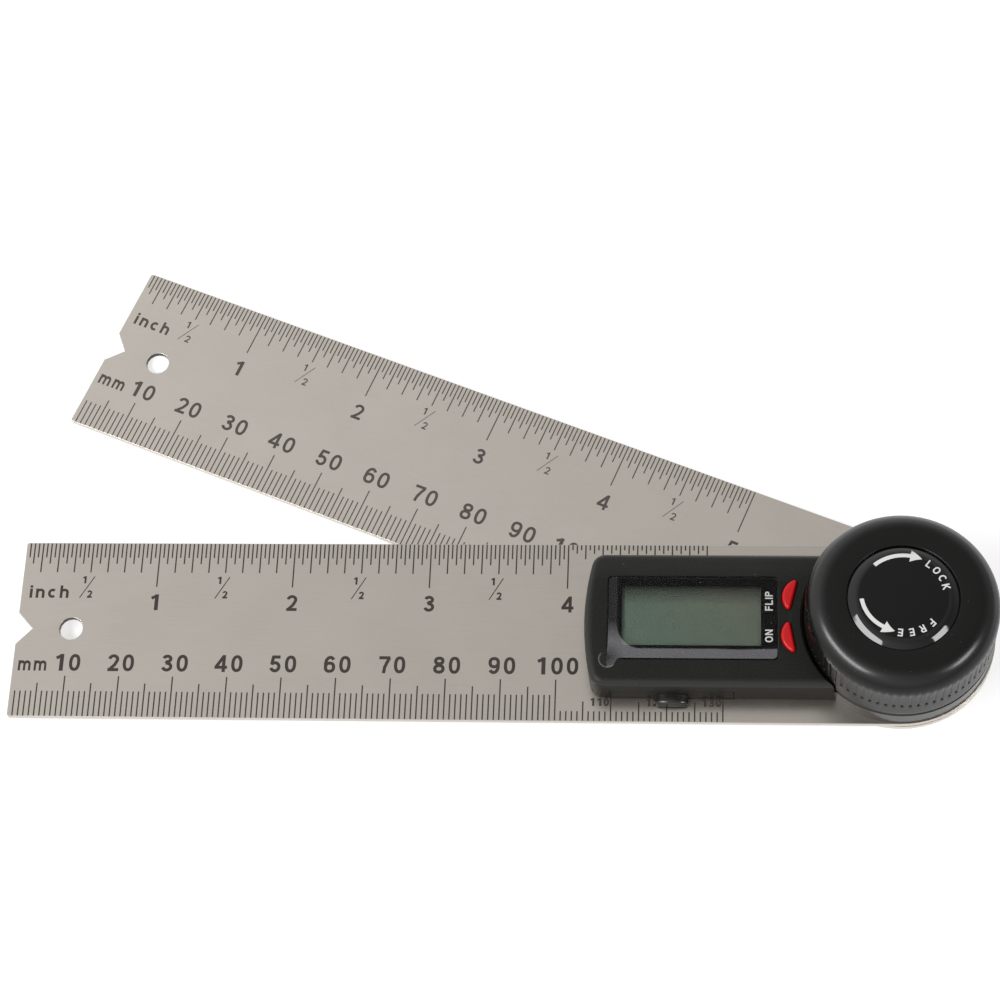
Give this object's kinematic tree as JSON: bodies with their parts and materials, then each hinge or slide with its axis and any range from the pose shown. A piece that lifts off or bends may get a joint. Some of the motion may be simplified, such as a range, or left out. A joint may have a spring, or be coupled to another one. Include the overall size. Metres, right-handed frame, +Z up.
{
  "type": "digital angle finder",
  "caption": "Digital angle finder: scaled steel rules on one pivot, a housing with display and red buttons, and a ribbed lock knob.",
  "frame": {"origin": "on the pivot axis, at the underside of the hub, which is flush with the lower rule's underside", "axes": "+Z up along the pivot axis; both rules lie towards -X with the upper rule's centreline on -X; the housing's front with the battery tray faces -Y"},
  "size_m": [0.1785, 0.0927, 0.02],
  "materials": {
    "rule_steel": "brushed lengthwise",
    "turned_steel": "turned, bright",
    "brass": "turned",
    "slip_washer": "smooth natural plastic",
    "housing_plastic": "fine spark-eroded texture",
    "knob_plastic": "satin",
    "label_gloss": "clear domed gloss",
    "lens": "clear polished plastic",
    "film": "clear protective film",
    "display": "liquid crystal cell",
    "rubber_strip": "layered contact strip",
    "circuit_board": "solder mask on glass fibre",
    "chip": "resin drop over the chip",
    "ribbon": "flexible printed ribbon",
    "sheet": "thin insulating sheet",
    "button_red": "glossy red"
  },
  "bodies": {
    "base": {"base_rule": "rule_steel", "pivot_bush": "brass", "lower_washer": "slip_washer", "upper_washer": "slip_washer", "housing_shell": "housing_plastic", "insulating_sheet": "sheet", "window_lens": "lens", "screen_film": "film", "lcd_panel": "display", "lcd_connector": "rubber_strip", "main_board": "circuit_board", "encoder_stator": "circuit_board", "controller_chip": "chip", "flip_dome": "turned_steel", "zero_dome": "turned_steel", "contact_plus": "turned_steel", "contact_minus": "turned_steel", "sensor_ribbon": "ribbon", "board_screw_1": "turned_steel", "board_screw_2": "turned_steel", "housing_screw_1": "turned_steel", "housing_screw_2": "turned_steel", "housing_screw_3": "turned_steel"},
    "arm": {"moving_rule": "rule_steel", "pivot_hub": "turned_steel", "rotor_collar": "brass", "encoder_rotor": "circuit_board", "pressure_washer": "turned_steel", "spring_washer": "turned_steel", "stop_screw": "turned_steel"},
    "knob": {"lock_knob": "knob_plastic", "knob_nut": "brass", "knob_label": "label_gloss"},
    "flip_button": {"flip_button": "button_red"},
    "zero_button": {"zero_button": "button_red"},
    "tray": {"battery_tray": "housing_plastic", "coin_cell": "turned_steel"}
  },
  "joints": [
    {"name": "arm_pivot", "type": "hinge", "parent": "base", "child": "arm", "pos_m": [0, 0, 0], "axis": [0, 0, 1], "continuous": true},
    {"name": "knob_turn", "type": "hinge", "parent": "arm", "child": "knob", "pos_m": [0, 0, 0.013], "axis": [0, 0, 1], "range_deg": [0, 180]},
    {"name": "flip_press", "type": "slide", "parent": "base", "child": "flip_button", "axis": [0, 0, -1], "range_m": [0, 0.0005], "stiffness_N_per_m": 500, "springref_m": -0.0006},
    {"name": "zero_press", "type": "slide", "parent": "base", "child": "zero_button", "axis": [0, 0, -1], "range_m": [0, 0.0005], "stiffness_N_per_m": 500, "springref_m": -0.0006},
    {"name": "tray_slide", "type": "slide", "parent": "base", "child": "tray", "axis": [0, -1, 0], "range_m": [0, 0.022]}
  ]
}
